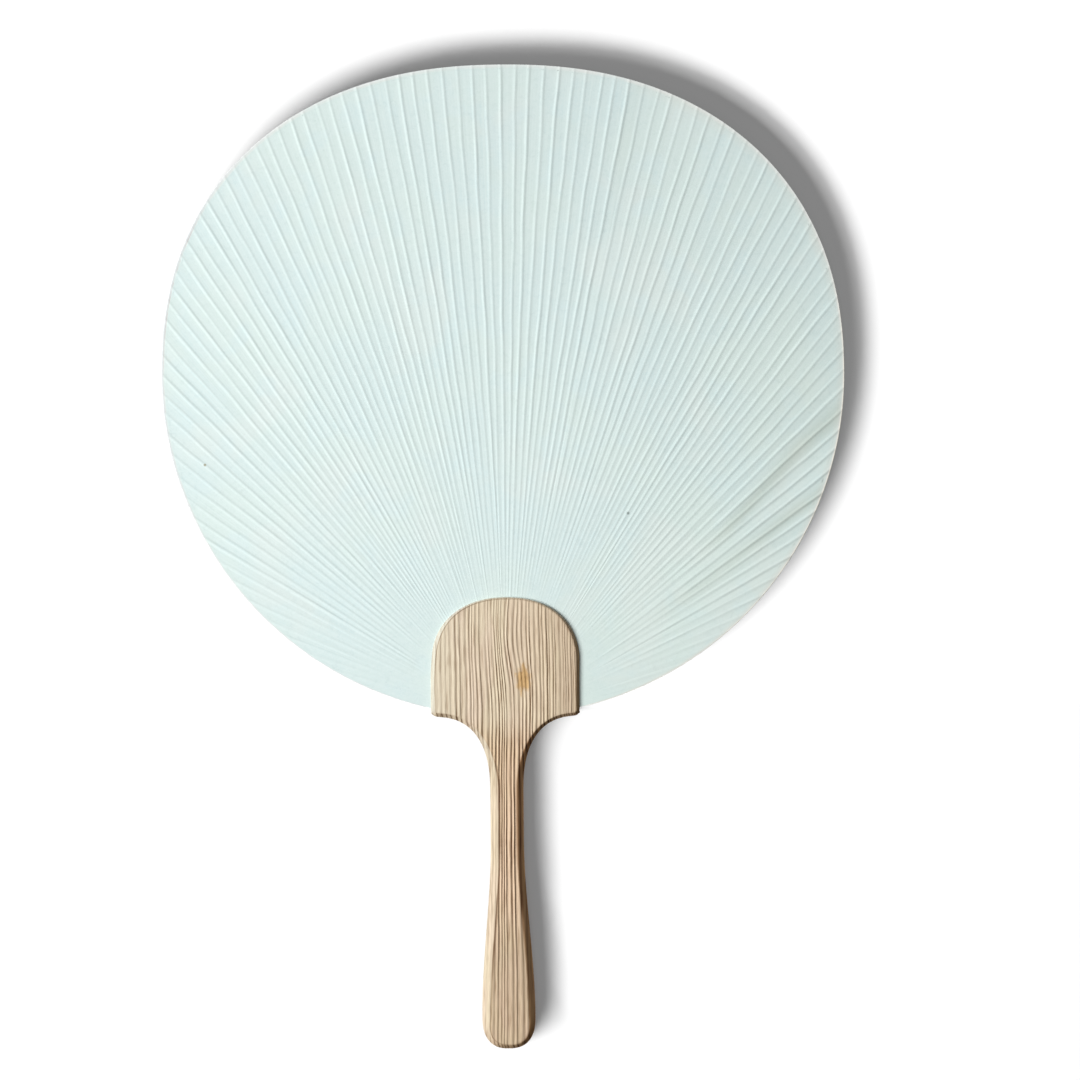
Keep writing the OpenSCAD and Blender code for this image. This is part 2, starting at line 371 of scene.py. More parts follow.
def grip_half(y):
    return NECK_W / 2 + (GRIP_W - NECK_W) / 2 * ease((SWELL_0 - y) / (SWELL_0 - SWELL_1))


def handle_right():
    """Right half of the handle's outline, from the top of the dome down to the end of the grip."""
    pts = []
    for a in np.radians(np.linspace(90, 0, 120)):
        pts.append((HEAD_W / 2 * max(0, math.cos(a)) ** (2 / DOME_N), HEAD_Y - DOME_H + DOME_H * max(0, math.sin(a)) ** (2 / DOME_N)))
    pts[0] = (0.0, HEAD_Y)
    pts += [(HEAD_W / 2, SHOULDER_Y + CORNER_R)]
    for a in np.radians(np.linspace(0, -90, 14)[1:]):
        pts.append((HEAD_W / 2 - CORNER_R + CORNER_R * math.cos(a), SHOULDER_Y + CORNER_R + CORNER_R * math.sin(a)))
    s0 = math.acos((CORNER_R / (HEAD_W / 2 - NECK_W / 2)) ** (SHOULDER_N / 2))
    for a in np.linspace(s0, 0, 80)[1:]:
        pts.append((HEAD_W / 2 - (HEAD_W - NECK_W) / 2 * max(0, math.cos(a)) ** (2 / SHOULDER_N), NECK_Y + SHOULDER_H * max(0, math.sin(a)) ** (2 / SHOULDER_N)))
    for y in np.linspace(NECK_Y, GRIP_Y + TIP_H, 100)[1:]:
        pts.append((float(grip_half(y)), y))
    for a in np.radians(np.linspace(0, 90, 60)[1:]):
        pts.append((float(grip_half(GRIP_Y + TIP_H)) * max(0, math.cos(a)) ** (2 / TIP_N), GRIP_Y + TIP_H - TIP_H * max(0, math.sin(a)) ** (2 / TIP_N)))
    pts[-1] = (0.0, GRIP_Y)
    return np.array(pts)


def resample(line, step):
    d = np.concatenate([[0], np.cumsum(np.linalg.norm(np.diff(line, axis=0), axis=1))])
    n = max(2, int(round(d[-1] / step)))
    t = np.linspace(0, d[-1], n + 1)
    return np.column_stack([np.interp(t, d, line[:, i]) for i in (0, 1)])


def along_grip(y):
    return ease((SHOULDER_Y - y) / SHOULDER_H) * ease((y - GRIP_Y + 1) / (TIP_H + 3))


def bevel_w(y, side):
    """Bevels were cut by hand: narrow over the dome, and a little broader on the left."""
    g = along_grip(y)
    head = HEAD_BEVEL * (0.36 + 0.64 * ease((HEAD_Y - y - 0.3) / 18)) * (1 + 0.1 * np.tanh(-side / 8.0))
    return head + (GRIP_BEVEL + 0.3 * np.tanh(-side / 2.0) - head) * g


def bevel_d(y):
    head = HEAD_BEVEL_D * (0.45 + 0.55 * ease((HEAD_Y - y - 0.3) / 18))
    return head + (GRIP_BEVEL_D - head) * along_grip(y)


def grain(x, y, z):
    """Where a point stands across the growth rings: nearly straight down the handle, leaning and waving a little."""
    lean = 0.13 * np.exp(-((x - 1.0) / 10.0) ** 2 - ((y + 38.0) / 22.0) ** 2)
    drop = -45.0 - y
    sway = 0.34 * np.sin(y / 11.0 + x / 7.0) + 0.13 * np.sin(y / 4.3 + x / 2.9 + 1.3) + 0.06 * np.sin(y / 1.7 + x / 1.5 + 0.4)
    sway = sway * (1 - 0.35 * ease((-62 - y) / 20)) + 0.5 * wave_noise(x / 9, y / 45, 77, 2)
    knot = 0.6 * np.exp(-((x + 1.5) / 5.0) ** 2 - ((y + 34.0) / 9.0) ** 2) * np.tanh((x + 1.5) / 3.0)
    spread = 1 - 0.2 * ease((-95 - y) / 75)  # down the grip the rings part as it broadens
    return x * spread - lean * drop + 0.45 * sway + knot + 0.22 * (z - HANDLE_T)


# Ring edges across the handle: broad to the left, fine to the right
EDGES = [-34.0]
while EDGES[-1] < 34.0:
    wide = float(np.interp(EDGES[-1], [-30, -12, 4, 16, 30], [1.85, 1.65, 1.45, 1.25, 1.1]))
    EDGES.append(EDGES[-1] + wide * rng.uniform(0.45, 1.55))
EDGES = np.array(EDGES)
STRONG = rng.uniform(0.4, 1.25, len(EDGES) + 1)  # how boldly each ring stands out


def ring_number(q):
    """The ring a point is in, and how far across it."""
    return np.interp(q, EDGES, np.arange(len(EDGES)))


def ring_relief(number):
    """Brushed softwood: late wood stands up as a narrow ridge, early wood sinks between."""
    p = number - np.floor(number)
    return 0.5 - 0.5 * np.cos(2 * math.pi * p**1.4)


def boldness(x, y, number):
    """How strongly the grain shows: little on the left of the head, most down the grip."""
    head = np.interp(x, [-27, -21, -15, -4, 3, 9, 19, 27], [0.30, 0.5, 1.5, 0.85, 0.85, 1.2, 1.0, 0.8])
    head = head * (1 - 0.3 * ease((y + 34) / 16))
    grip = ease((-56 - y) / 18)
    patch = 0.85 + (0.5 - 0.25 * grip) * wave_noise(x / 2.4, y / 13, 31, 3)
    strong = STRONG[np.floor(number).astype(int)]
    strong = strong + (np.maximum(strong, 0.85) - strong) * grip
    down = 1.5 - 0.85 * ease((-104 - y) / 44)  # boldest at the neck
    return np.clip((head + (down - head) * grip) * strong * patch, 0.05, 1.5)


def nearest_edge(points, outline):
    """Distance from each point to the outline, and the outward direction at the nearest place on it."""
    a = outline
    b = np.roll(outline, -1, axis=0)
    ab = b - a
    l2 = (ab**2).sum(1)
    best, out = np.full(len(points), 1e9), np.zeros((len(points), 2))
    facing = np.column_stack([-ab[:, 1], ab[:, 0]]) / np.sqrt(l2)[:, None]
    for s in range(0, len(points), 2000):
        p = points[s : s + 2000, None, :]
        t = np.clip(((p - a) * ab).sum(2) / l2, 0, 1)
        d = np.linalg.norm(p - (a + ab * t[..., None]), axis=2)
        best[s : s + 2000] = d.min(1)
        out[s : s + 2000] = facing[d.argmin(1)]
    return best, out


def inside(points, outline):
    x, y = points[:, 0], points[:, 1]
    c = np.zeros(len(points), bool)
    a, b = outline, np.roll(outline, -1, axis=0)
    for (x0, y0), (x1, y1) in zip(a, b):
        if y0 != y1:
            hit = (y0 > y) != (y1 > y)
            c ^= hit & (x < (x1 - x0) * (y - y0) / (y1 - y0) + x0)
    return c


right_line = resample(handle_right(), 0.55)
at_slot = int(np.argmin(np.hypot(right_line[:, 0] - HEAD_W / 2, right_line[:, 1] - SLOT_Y)))
right_line[at_slot] = (HEAD_W / 2, SLOT_Y)
OUTLINE = np.concatenate([right_line, (right_line[-2:0:-1] * (-1, 1))])  # clockwise from the top
# cut by hand, the head's left side stands a little further out than its right side
OUTLINE[:, 0] -= np.where(OUTLINE[:, 0] < 0, 0.45, 0.2) * ease((-36 - OUTLINE[:, 1]) / 9) * ease((OUTLINE[:, 1] + 62) / 6) * ease((abs(OUTLINE[:, 0]) - 15) / 8)
COUNT = len(OUTLINE)
tang = np.roll(OUTLINE, -1, axis=0) - np.roll(OUTLINE, 1, axis=0)
INWARD = np.column_stack([tang[:, 1], -tang[:, 0]]) / np.linalg.norm(tang, axis=1)[:, None]


def face_points(dx, dy):
    """Points over the handle's face: rings along the bevel, and a grid of grain-wise cells inside."""
    rings = []
    for t in (0.05, 0.22, 0.45, 0.7, 0.9, 1.0, 1.12):
        d = t * bevel_w(OUTLINE[:, 1], OUTLINE[:, 0])
        q = OUTLINE + INWARD * d[:, None]
        rings.append(q[nearest_edge(q, OUTLINE)[0] > 0.93 * d])
    ys = np.arange(GRIP_Y, HEAD_Y + dy, dy)
    xs = np.arange(-HEAD_W / 2, HEAD_W / 2 + dx, dx)
    gx, gy = np.meshgrid(xs, ys)
    gx[1::2] += dx / 2
    g = np.column_stack([gx.ravel(), gy.ravel()])
    g = g[inside(g, OUTLINE)]
    d = nearest_edge(g, OUTLINE)[0]
    g = g[d > 1.22 * bevel_w(g[:, 1], g[:, 0])]
    return np.concatenate(rings + [g])


def face_height(p, depth_from_edge, out, strength):
    """Height of the face over the handle's thickness: bevel, a faint crown on the head, and the brushed grain."""
    w, dep = bevel_w(p[:, 1], p[:, 0]), bevel_d(p[:, 1])
    t = np.clip(depth_from_edge / w, 0, 1.6)
    # a straight cut with a slightly rounded top edge
    soft = 0.09
    cut = np.where(t < 1, 1 - t, 0.0)
    cut = 0.5 * (cut + np.sqrt(cut**2 + soft**2)) * np.where(t < 1.4, 1, 0) * (1 - ease((t - 1.0) / 0.4))
    cut = np.minimum(cut, 1.0)
    head = ease((p[:, 1] - NECK_Y) / SHOULDER_H)
    crown = 0.35 * head * np.clip(np.abs(p[:, 0]) / (HEAD_W / 2), 0, 1) ** 2 + 0.18 * (1 - head) * np.clip(np.abs(p[:, 0]) / 8, 0, 1) ** 2
    number = ring_number(grain(p[:, 0], p[:, 1], HANDLE_T))
    on_face = ease((t - 0.75) / 0.35)
    # cut across the grain along the lower edges, the rings are brushed out deeper
    across = np.clip(-out[:, 1], 0, 1) ** 2 * (1 - on_face)
    size = strength * (0.25 + 0.75 * on_face + 1.2 * across) * (1 + 0.6 * ease((-58 - p[:, 1]) / 16) * (1 - 0.6 * ease((-125 - p[:, 1]) / 40)))
    edge = np.where(t < 0.02, across, 1.0)
    relief = ring_relief(number) * np.minimum(boldness(p[:, 0], p[:, 1], number), 1.0)
    return -dep * cut - crown - edge * size * (1 - relief)


def build_handle():
    n_out = COUNT
    verts, faces = [], []

    def cap(points):
        """Triangles over the outline and the points inside it."""
        allp = [Vector(p) for p in np.concatenate([OUTLINE, points]).tolist()]
        edges = [(i, (i + 1) % n_out) for i in range(n_out)]
        out = geometry.delaunay_2d_cdt(allp, edges, [], 0, 1e-5, True)
        v2, tri, src = np.array([tuple(v) for v in out[0]]), np.array(out[2]), [s[0] if s else -1 for s in out[3]]
        return v2, tri[inside(v2[tri].mean(1), OUTLINE)], np.array(src)

    levels = []
    for front, (dx, dy), strength in ((True, (0.18, 1.0), 0.2), (False, (0.36, 1.4), 0.12)):
        v2, tri, src = cap(face_points(dx, dy))
        d, out = nearest_edge(v2, OUTLINE)
        d[d < 1e-4] = 0
        h = face_height(v2, d, out, strength)
        base = len(verts)
        verts += np.column_stack([v2, HANDLE_T + h if front else -h]).tolist()
        a, b, c = (v2[tri[:, i]] for i in range(3))
        up = (b[:, 0] - a[:, 0]) * (c[:, 1] - a[:, 1]) - (b[:, 1] - a[:, 1]) * (c[:, 0] - a[:, 0]) > 0
        turn = up != front
        tri[turn] = tri[turn][:, ::-1]
        faces += (tri + base).tolist()
        ring = np.full(n_out, -1)
        for i in np.nonzero((src >= 0) & (src < n_out))[0]:
            ring[src[i]] = base + i
        assert (ring >= 0).all()
        levels.append(ring)
    top, bottom = levels
    slot_hi, slot_lo = MID + RIB_T / 2 + PAPER, MID - RIB_T / 2 - PAPER
    mids = []
    for z in (slot_hi, slot_lo):
        base = len(verts)
        verts += np.column_stack([OUTLINE, np.full(n_out, z)]).tolist()
        mids.append(base + np.arange(n_out))
    hi, lo = mids
    in_slot = OUTLINE[:, 1] > SLOT_Y - 1e-6
    for i in range(n_out):
        j = (i + 1) % n_out
        faces.append((top[i], top[j], hi[j], hi[i]))
        faces.append((lo[i], lo[j], bottom[j], bottom[i]))
        if not (in_slot[i] and in_slot[j]):
            faces.append((hi[i], hi[j], lo[j], lo[i]))
    order = [i for i in range(n_out) if in_slot[i]]
    # the slot runs from its left end over the top to its right end
    cut = next(k for k in range(len(order)) if order[(k + 1) % len(order)] != (order[k] + 1) % n_out)
    order = order[cut + 1 :] + order[: cut + 1]
    faces.append([hi[i] for i in order])
    faces.append([lo[i] for i in order][::-1])
    faces.append((hi[order[0]], hi[order[-1]], lo[order[-1]], lo[order[0]]))
    verts = np.array(verts)
    obj = make_mesh("cedar_handle", verts, faces, 70)
    number = ring_number(grain(verts[:, 0], verts[:, 1], verts[:, 2]))
    d, out = nearest_edge(verts[:, :2], OUTLINE)
    past = d - bevel_w(verts[:, 1], verts[:, 0])  # millimetres past the bevel's upper edge
    on_bevel = 1 - ease((past + 0.15) / 0.3)
    set_attribute(obj, "ring", number)
    set_attribute(obj, "bold", boldness(verts[:, 0], verts[:, 1], number))
    set_attribute(obj, "past", past)
    # bevels facing right and down, away from the key light: mask for painted shade
    set_attribute(obj, "wear_and_painted_shade", np.clip(out @ (0.87, -0.5), 0, 1) * on_bevel)
    # bevels facing left and up, towards the key light: mask for painted highlight tone
    set_attribute(obj, "painted_lit_bevel", ease(out @ (-0.95, 0.45)) * on_bevel)
    set_attribute(obj, "left", ease(out @ (-1.0, 0.3) + 0.3))
    # a painted shadow line beside the left bevel down the grip
    painted_groove_shadow = bell(past, 0.2, 0.45) * ease(out @ (-1.0, 0.0)) * ease((-70 - verts[:, 1]) / 12) * ease((verts[:, 1] + 172) / 20)
    set_attribute(obj, "painted_groove_shadow", painted_groove_shadow * np.clip(0.8 + 0.7 * wave_noise(verts[:, 0] * 0, verts[:, 1] / 7, 12, 4), 0.1, 1))
    set_attribute(obj, "across", np.clip(-out[:, 1], 0, 1) ** 2 * on_bevel)
    return obj


handle = build_handle()


# ---------------------------------------------------------------- materials
class Nodes:
    """Short ways to add and join shader nodes."""

    def __init__(self, name):
        self.mat = bpy.data.materials.new(name)
        self.mat.use_nodes = True
        self.tree = self.mat.node_tree
        self.tree.nodes.clear()
        self.out = self.add("ShaderNodeOutputMaterial")
        self.bsdf = self.add("ShaderNodeBsdfPrincipled")
        self.join(self.bsdf.outputs[0], self.out.inputs["Surface"])

    def add(self, kind, **props):
        n = self.tree.nodes.new(kind)
        for k, v in props.items():
            setattr(n, k, v)
        return n

    def join(self, a, b):
        self.tree.links.new(a, b)

    def put(self, socket, value):
        if isinstance(value, bpy.types.NodeSocket):
            self.join(value, socket)
        else:
            socket.default_value = value

    def math(self, op, a, b=0.0, c=0.0, clamp=False):
        n = self.add("ShaderNodeMath", operation=op, use_clamp=clamp)
        for s, v in zip(n.inputs, (a, b, c)):
            self.put(s, v)
        return n.outputs[0]

    def attribute(self, name):
        return self.add("ShaderNodeAttribute", attribute_name=name).outputs["Fac"]

    def coords(self):
        return self.add("ShaderNodeTexCoord").outputs["Object"]

    def scaled(self, vec, scale):
        n = self.add("ShaderNodeMapping")
        self.put(n.inputs["Vector"], vec)
        n.inputs["Scale"].default_value = scale
        return n.outputs[0]

    def noise(self, vec, scale, detail=3.0, rough=0.5, distortion=0.0):
        n = self.add("ShaderNodeTexNoise")
        self.put(n.inputs["Vector"], vec)
        n.inputs["Scale"].default_value = scale
        n.inputs["Detail"].default_value = detail
        n.inputs["Roughness"].default_value = rough
        n.inputs["Distortion"].default_value = distortion
        return n.outputs["Fac"]

    def ramp(self, fac, stops, mode="LINEAR"):
        n = self.add("ShaderNodeValToRGB")
        n.color_ramp.interpolation = mode
        e = n.color_ramp.elements
        while len(e) < len(stops):
            e.new(0.5)
        for el, (p, c) in zip(e, stops):
            el.position = p
            el.color = (*c, 1) if len(c) == 3 else c
        self.put(n.inputs[0], fac)
        return n.outputs["Color"]

    def mix(self, fac, a, b, blend="MIX"):
        n = self.add("ShaderNodeMix", data_type="RGBA", blend_type=blend)
        self.put(n.inputs["Factor"], fac)
        for s, v in ((n.inputs[6], a), (n.inputs[7], b)):
            self.put(s, v if isinstance(v, bpy.types.NodeSocket) else (*v, 1))
        return n.outputs[2]

    def vector(self, x, y, z=0.0):
        n = self.add("ShaderNodeCombineXYZ")
        for s, v in zip(n.inputs, (x, y, z)):
            self.put(s, v)
        return n.outputs[0]

    def map(self, v, a, b, c, d, smooth=False):
        n = self.add("ShaderNodeMapRange", interpolation_type="SMOOTHSTEP" if smooth else "LINEAR")
        for s, x in zip(n.inputs, (v, a, b, c, d)):
            self.put(s, x)
        return n.outputs[0]

    def bump(self, height, distance, strength=1.0):
        n = self.add("ShaderNodeBump")
        n.inputs["Strength"].default_value = strength
        n.inputs["Distance"].default_value = distance
        self.join(height, n.inputs["Height"])
        self.join(n.outputs[0], self.bsdf.inputs["Normal"])


def srgb(r, g, b):
    return tuple(((c / 255 + 0.055) / 1.055) ** 2.4 if c > 10 else c / 255 / 12.92 for c in (r, g, b))


def washi(name, specks=False, strip=False):
    m = Nodes(name)
    co = m.coords()
    along, turn, painted_crease_shade = m.attribute("along"), m.attribute("turn"), m.attribute("painted_crease_shade")
    # long fibres brushed out along the ribs, and the cloudy thickness and tint of handmade paper
    streak = m.noise(m.vector(m.math("MULTIPLY", turn, 5.0), m.math("MULTIPLY", along, 0.02)), 1.0, 3.0, 0.6)
    cloud = m.noise(co, 22.0, 2.0, 0.5)
    blush = m.noise(m.scaled(co, (1, 1, 3)), 30.0, 2.0, 0.5, 0.4)
    fibre = m.noise(co, 900.0, 3.0, 0.6, 0.6)
    cool = m.noise(m.scaled(co, (1, 1, 3)), 75.0, 2.0, 0.5)
    thin = m.noise(co, 420.0, 4.0, 0.75, 0.8)
    base = m.mix(m.map(cloud, 0.40, 0.60, 0, 1, True), srgb(211, 229, 228), srgb(215, 231, 226))
    base = m.mix(m.map(blush, 0.52, 0.68, 0, 0.8, True), base, srgb(221, 231, 227))
    base = m.mix(m.map(cool, 0.52, 0.66, 0, 0.5, True), base, srgb(210, 231, 233))
    base = m.mix(m.map(streak, 0.3, 0.7, 0, 0.8), base, srgb(221, 236, 233))
    base = m.mix(m.map(fibre, 0.35, 0.7, 0.0, 0.5), base, srgb(225, 238, 236))
    base = m.mix(m.map(thin, 0.5, 0.72, 0.0, 1.0, True), base, (0.945, 0.95, 0.955), "MULTIPLY")
    # darker further out towards the rim, painted shade for the light's fall-off over the leaf; a little yellower to the
    # right; and darker along the creases, painted shade
    base = m.mix(m.map(along, 60, 225, 0, 1), base, (0.96, 0.96, 0.96), "MULTIPLY")
    base = m.mix(m.map(turn, 15, 55, 0, 1, True), base, (1.0, 1.0, 0.982), "MULTIPLY")
    base = m.mix(painted_crease_shade, base, (0.80, 0.785, 0.74), "MULTIPLY")
    edge = m.math("MULTIPLY", m.map(m.attribute("inward"), 0.5, 5.0, 1, 0), m.map(turn, -5, 30, 0, 0.45, True))
    base = m.mix(m.math("MULTIPLY", edge, m.map(blush, 0.3, 0.6, 0.4, 1.0)), base, srgb(224, 222, 212))
    if strip:
        # the strip shows mainly where it turns over the edge: nearly white over the top, cream down the right
        inward, wide, wear_and_painted_shade = m.attribute("inward"), m.math("ABSOLUTE", turn), m.noise(co, 160.0, 3.0, 0.6)
        base = m.mix(m.math("MULTIPLY", m.map(inward, 0.9, 1.5, 0.5, 0, True), m.map(wear_and_painted_shade, 0.3, 0.6, 0.3, 1.0)), base, srgb(228, 228, 223))
        dash = m.math("MULTIPLY", m.map(inward, 0.45, 0.7, 0, 1, True), m.map(inward, 0.8, 1.1, 1, 0, True))
        dash = m.math("MULTIPLY", dash, m.math("MULTIPLY", m.map(turn, -29, -33, 0, 1, True), m.map(turn, -46, -40, 0.15, 1, True)))
        base = m.mix(m.math("MULTIPLY", dash, m.map(wear_and_painted_shade, 0.4, 0.55, 0.1, 0.8, True)), base, srgb(196, 190, 190))
        # a thin bright line along the fold: partly the strip's own white, partly a painted highlight
        line = m.math("MULTIPLY", m.map(inward, 0.3, 0.75, 1, 0, True), m.map(wide, 15, 45, 0.5, 1.0, True))
        line = m.math("MULTIPLY", line, m.map(wear_and_painted_shade, 0.3, 0.55, 0.6, 1.0))
        base = m.mix(line, base, m.mix(m.map(turn, 32, 46, 0, 1, True), srgb(238, 239, 237), srgb(255, 252, 240)))
        # and greyer down the left
        grey = m.math("MULTIPLY", m.map(inward, 0.35, 0.8, 1, 0, True), m.map(turn, -18, -34, 0, 1, True))
        base = m.mix(m.math("MULTIPLY", grey, m.map(turn, -50, -60, 0.8, 0.35, True)), base, srgb(208, 213, 214))
    # two small specks
    for x, y, size, colour in ((-0.1109, 0.0349, 0.0007, (150, 138, 96)), (0.0459, 0.0156, 0.0008, (130, 142, 138))) if specks else ():
        off = m.add("ShaderNodeVectorMath", operation="DISTANCE")
        m.join(m.scaled(co, (1, 1, 0)), off.inputs[0])
        off.inputs[1].default_value = (x, y, 0)
        base = m.mix(m.map(off.outputs["Value"], size * 0.3, size, 0.75, 0, True), base, srgb(*colour))
    m.join(base, m.bsdf.inputs["Base Color"])
    m.bsdf.inputs["Roughness"].default_value = 0.85
    m.bsdf.inputs["Specular IOR Level"].default_value = 0.25
    m.bump(m.math("ADD", m.math("MULTIPLY", streak, 0.7), m.math("MULTIPLY", fibre, 0.3)), 0.00006, 0.6)
    return m.mat


def cedar():
    m = Nodes("cedar_wood")
    co = m.coords()
    sep = m.add("ShaderNodeSeparateXYZ")
    m.join(co, sep.inputs[0])
    x, y = sep.outputs[0], sep.outputs[1]
    number, bold, past = m.attribute("ring"), m.attribute("bold"), m.attribute("past")
    p = m.math("FRACT", number)
    late = m.ramp(p, [(v, (g, g, g)) for v, g in ((0.0, 0.5), (0.1, 0.2), (0.25, 0.04), (0.5, 0.0), (0.68, 0.1), (0.8, 0.8), (0.88, 1.0), (0.96, 0.7), (1.0, 0.5))])
    # fibres along the grain: fine ones everywhere, and longer dark streaks
    fibre = m.noise(m.scaled(co, (1.0, 0.03, 0.3)), 5200.0, 3.0, 0.6)
    streak = m.noise(m.scaled(co, (1.0, 0.045, 0.3)), 1500.0, 2.0, 0.55)
    drift = m.noise(m.scaled(co, (1.0, 0.25, 1.0)), 120.0, 2.0, 0.5)
    base = m.mix(m.map(drift, 0.4, 0.62, 0, 1, True), srgb(235, 223, 198), srgb(236, 220, 199))
    lines = m.math("MULTIPLY", m.math("MULTIPLY", late, bold), m.map(streak, 0.3, 0.65, 0.6, 1.2), clamp=True)
    # grain lines are painted fainter on the bevels that face the key light, a painted highlight
    lines = m.math("MULTIPLY", lines, m.map(m.attribute("painted_lit_bevel"), 0, 1, 1.0, 0.45))
    base = m.mix(lines, base, m.mix(m.map(y, -0.062, -0.085, 0, 1, True), srgb(122, 94, 64), srgb(98, 68, 42)))
    base = m.mix(m.map(fibre, 0.35, 0.7, 0.0, 0.42), base, srgb(152, 122, 90))
    base = m.mix(m.map(streak, 0.54, 0.70, 0.0, 0.45, True), base, srgb(142, 112, 80))
    # paler on the left of the head, browner to its right and down the grip
    tint = m.ramp(m.map(x, -0.027, 0.027, 0, 1), [(0.05, (1.0, 1.0, 1.0)), (0.25, (0.98, 0.95, 0.92)), (0.5, (0.985, 0.955, 0.91)), (0.75, (0.985, 0.955, 0.88)), (0.95, (0.83, 0.78, 0.70))])
    down = m.ramp(m.map(y, -0.070, -0.170, 0, 1), [(0.0, (0.90, 0.78, 0.67)), (0.3, (0.985, 0.865, 0.757)), (0.55, (0.955, 0.845, 0.736)), (0.78, (0.81, 0.722, 0.635)), (0.95, (0.85, 0.76, 0.67))])
    tint = m.mix(m.map(y, -0.058, -0.074, 0, 1, True), tint, down)
    # painted highlight tone: the bevels that face the key light are tinted cooler
    painted_lit_bevel = m.mix(m.map(y, -0.060, -0.085, 0, 1, True), (0.81, 0.89, 0.98), (0.93, 0.91, 0.86))
    tint = m.mix(m.math("MULTIPLY", m.attribute("painted_lit_bevel"), 0.9), tint, painted_lit_bevel)
    base = m.mix(1.0, base, tint, "MULTIPLY")
    # a resin stain beside the middle of the head
    sx, sy = m.math("DIVIDE", m.math("SUBTRACT", x, 0.0065), 0.0029), m.math("DIVIDE", m.math("ADD", y, 0.0454), 0.0058)
    far = m.math("SQRT", m.math("ADD", m.math("MULTIPLY", sx, sx), m.math("MULTIPLY", sy, sy)))
    ragged = m.noise(m.scaled(co, (1.0, 0.35, 1.0)), 1100.0, 3.0, 0.6)
    far = m.math("ADD", far, m.map(ragged, 0.3, 0.7, -0.35, 0.35))
    stain = m.map(far, 0.45, 1.15, 0.9, 0.0, True)
    base = m.mix(stain, base, (0.86, 0.66, 0.36), "MULTIPLY")
    base = m.mix(m.math("MULTIPLY", stain, m.map(ragged, 0.45, 0.6, 0.0, 0.8, True)), base, (0.62, 0.52, 0.40), "MULTIPLY")
    # the bevel's upper edge is a little darker; its right and lower sides, which face away from the key light, are
    # browner and darker, painted shade; the end grain is darkest, partly its own colour and partly painted shade in the
    # valleys between its rings
    line = m.math("MULTIPLY", m.map(past, -0.2, 0.05, 0, 1, True), m.map(past, 0.15, 0.45, 1, 0, True))
    line = m.math("MULTIPLY", line, m.map(m.attribute("left"), 0, 1, 0.5, 1.0))
    at_neck = m.math("MULTIPLY", m.map(y, -0.050, -0.060, 0, 1, True), m.map(y, -0.074, -0.084, 1, 0, True))
    line = m.math("MULTIPLY", line, m.map(at_neck, 0, 1, 1.0, 0.25))
    base = m.mix(m.math("MULTIPLY", line, m.map(streak, 0.3, 0.7, 0.5, 1.0)), base, (0.50, 0.42, 0.34), "MULTIPLY")
    # painted shadow line beside the left bevel down the grip
    base = m.mix(m.attribute("painted_groove_shadow"), base, (0.36, 0.26, 0.17), "MULTIPLY")
    # painted shade on the bevels that face away from the key light
    base = m.mix(m.attribute("wear_and_painted_shade"), base, (0.58, 0.41, 0.25), "MULTIPLY")
    # end grain: its own darker colour plus painted shade in the valleys between the rings
    end_grain_and_painted_shade = m.math("MULTIPLY", m.attribute("across"), late, clamp=True)
    base = m.mix(m.math("MULTIPLY", end_grain_and_painted_shade, 0.85), base, (0.30, 0.22, 0.14), "MULTIPLY")
    m.join(base, m.bsdf.inputs["Base Color"])
    m.bsdf.inputs["Roughness"].default_value = 0.62
    m.bsdf.inputs["Specular IOR Level"].default_value = 0.3
    m.bump(fibre, 0.00005, 0.5)
    return m.mat


def bamboo():
    m = Nodes("bamboo_rib")
    co = m.coords()
    n = m.noise(m.scaled(co, (1, 0.05, 1)), 3000.0, 2.0)
    m.join(m.mix(n, srgb(222, 200, 142), srgb(200, 176, 118)), m.bsdf.inputs["Base Color"])
    m.bsdf.inputs["Roughness"].default_value = 0.45
    m.bump(n, 0.00003, 0.4)
    return m.mat


def card():
    m = Nodes("root_card_board")
    co = m.coords()
    n = m.noise(co, 700.0, 3.0)
    m.join(m.mix(n, srgb(228, 214, 186), srgb(212, 196, 166)), m.bsdf.inputs["Base Color"])
    m.bsdf.inputs["Roughness"].default_value = 0.9
    m.bump(n, 0.00003, 0.4)
    return m.mat


def dress(obj, mat):
    obj.data.materials.clear()
    obj.data.materials.append(mat)


dress(front_paper, washi("washi_front", specks=True))
dress(back_paper, washi("washi_back"))
dress(rim, washi("rim_strip_paper", strip=True))
dress(handle, cedar())
rib_mat, card_mat = bamboo(), card()
for name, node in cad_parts.items():
    if name.startswith("rib_"):
        dress(node, rib_mat)
    elif name == "root_card":
        dress(node, card_mat)

for obj, node, slot in ((front_paper, "front_paper", "front_washi"), (back_paper, "back_paper", "back_washi"), (rim, "rim_binding", "rim_paper"), (handle, "handle", "cedar")):
    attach(obj, "root")
    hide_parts(node)

# ---------------------------------------------------------------- floor, light and camera
scene = bpy.context.scene
fm = Nodes("floor_white")
fm.bsdf.inputs["Base Color"].default_value = (0.93, 0.93, 0.93, 1)
fm.bsdf.inputs["Roughness"].default_value = 0.9
fm.bsdf.inputs["Specular IOR Level"].default_value = 0.0


def floor_half(name, y0, y1):
    """The floor is in two halves, so that the leaf and the grip can throw shadows of the same width."""
    mesh = bpy.data.meshes.new(name)
    mesh.from_pydata([(-3, y0, -0.0001), (3, y0, -0.0001), (3, y1, -0.0001), (-3, y1, -0.0001)], [], [(0, 1, 2, 3)])
    obj = bpy.data.objects.new(name, mesh)
    scene.collection.objects.link(obj)
    dress(obj, fm.mat)
    obj.visible_diffuse = False
    obj.visible_glossy = False
    return obj


SEAM = -0.0564
floor_far, floor_near = floor_half("floor_far", SEAM, 3), floor_half("floor_near", -3, SEAM)


